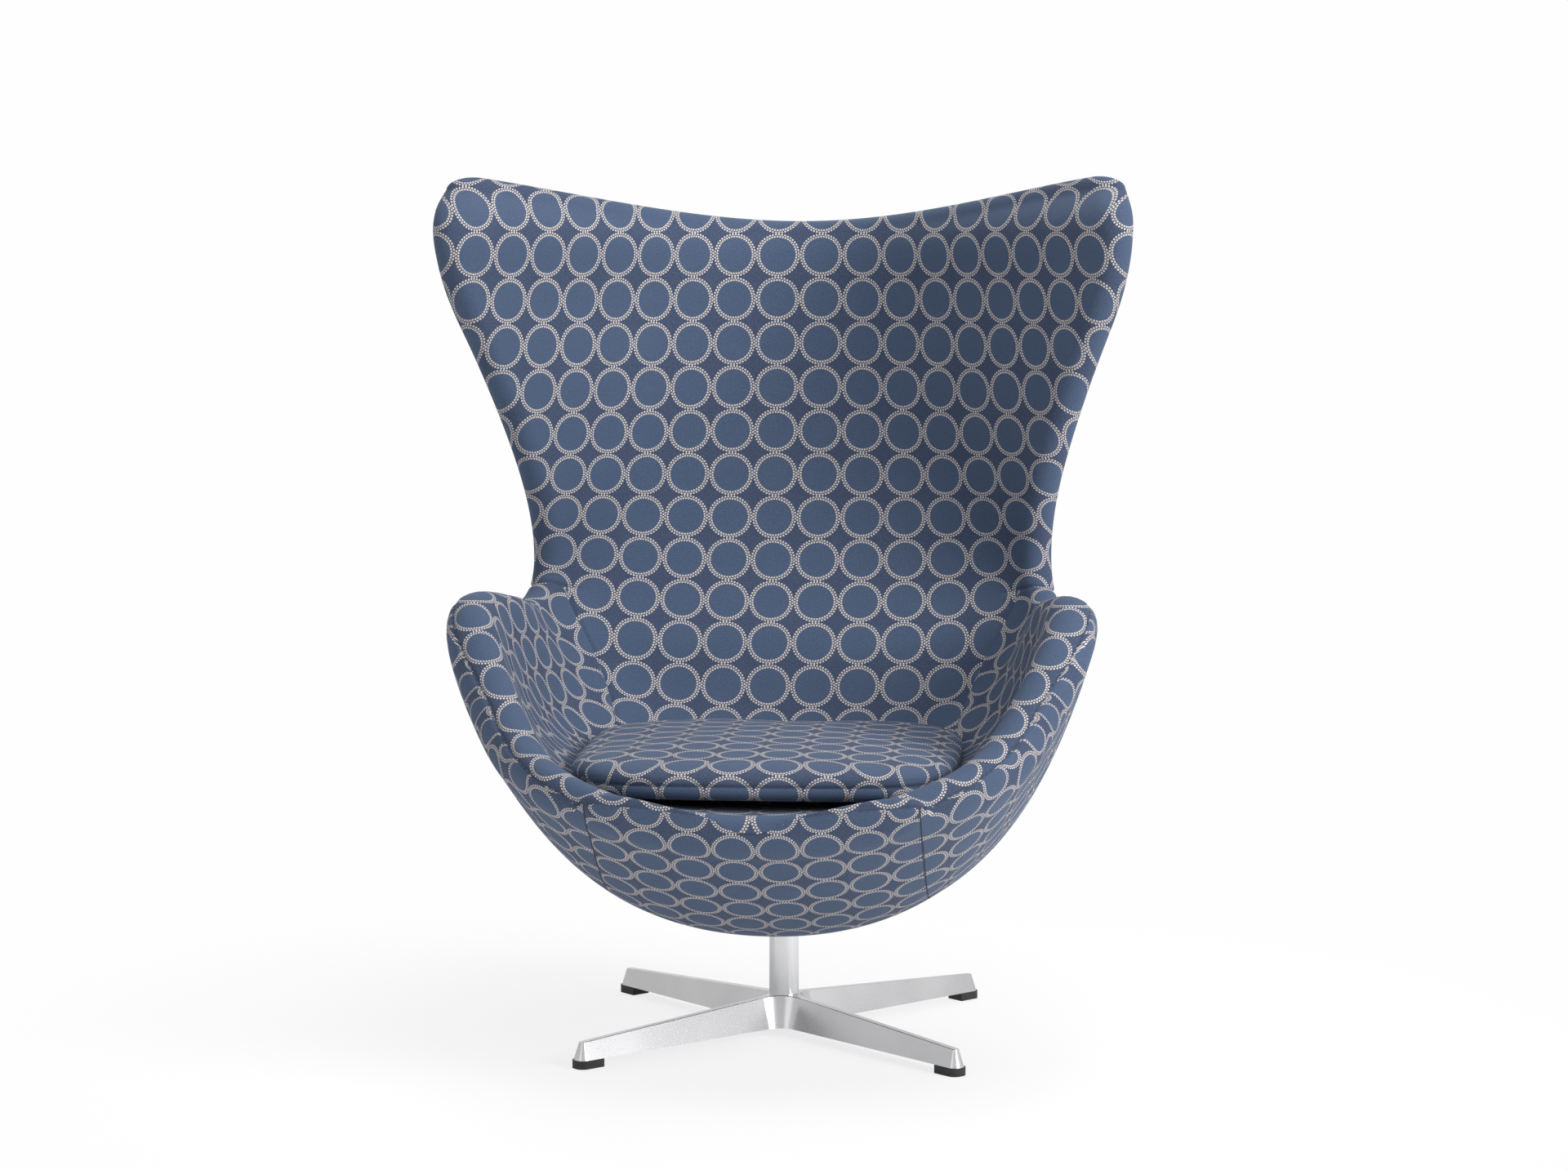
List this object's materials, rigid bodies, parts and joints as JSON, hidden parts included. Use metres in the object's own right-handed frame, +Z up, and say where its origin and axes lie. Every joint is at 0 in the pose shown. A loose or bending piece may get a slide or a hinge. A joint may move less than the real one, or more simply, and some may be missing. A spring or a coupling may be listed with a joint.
{
  "type": "egg-shaped swivel lounge chair",
  "caption": "High-backed egg-shaped lounge chair with a padded one-piece shell, loose seat cushion and cast star foot, which swivels and tilts.",
  "frame": {"origin": "on the floor, under the middle of the chair's bounding box", "axes": "+Z up, -Y to the front, where the sitter's knees are, +X to the right in the picture"},
  "size_m": [0.8518, 0.7344, 1.0643],
  "materials": {
    "cast_aluminium": "satin polish",
    "glide_plastic": "matt",
    "zinc_steel": "zinc plated",
    "satin_steel": "satin",
    "bush_plastic": "plain moulded",
    "spring_steel": "oiled",
    "black_steel": "powder coat",
    "buffer_rubber": "moulded",
    "pad_plastic": "filled resin",
    "glass_fibre": "laminate",
    "foam": "moulded foam",
    "woven_wool": "woven wool with rings of light flecks"
  },
  "bodies": {
    "base": {"base_star": "cast_aluminium", "glide_front_left": "glide_plastic", "glide_front_right": "glide_plastic", "glide_rear_left": "glide_plastic", "glide_rear_right": "glide_plastic", "glide_screws": "zinc_steel", "column_tube": "satin_steel", "lower_bush": "bush_plastic", "upper_bush": "bush_plastic", "thrust_washer": "bush_plastic"},
    "swivel": {"spindle": "zinc_steel", "spindle_circlip": "spring_steel", "swivel_bracket": "black_steel", "tilt_shaft": "zinc_steel", "shaft_circlips": "spring_steel", "rest_buffers": "buffer_rubber", "limit_buffers": "buffer_rubber", "return_spring": "spring_steel", "spring_pin": "zinc_steel"},
    "shell": {"seat_plate": "black_steel", "tilt_bush_left": "bush_plastic", "tilt_bush_right": "bush_plastic", "plate_bolts": "zinc_steel", "threaded_inserts": "zinc_steel", "mounting_pad": "pad_plastic", "rigid_shell": "glass_fibre", "foam_padding": "foam", "back_panel": "woven_wool", "seat_panel": "woven_wool", "arm_panel_left": "woven_wool", "arm_panel_right": "woven_wool", "apron_panel": "woven_wool", "outer_panel": "woven_wool", "column_collar": "glide_plastic"},
    "cushion": {"cushion_core": "foam", "cushion_top_cover": "woven_wool", "cushion_base_cover": "woven_wool"}
  },
  "joints": [
    {"name": "swivel", "type": "hinge", "parent": "base", "child": "swivel", "pos_m": [0, 0.083, 0.2], "axis": [0, 0, 1], "continuous": true},
    {"name": "tilt", "type": "hinge", "parent": "swivel", "child": "shell", "pos_m": [0, 0.083, 0.232], "axis": [-1, 0, 0], "range_deg": [0, 12], "stiffness_Nm_per_rad": 150, "springref_deg": -14.32, "deforming": ["return_spring"]},
    {"name": "cushion_lift", "type": "slide", "parent": "shell", "child": "cushion", "axis": [0, 0, 1], "range_m": [0, 0.2]}
  ]
}
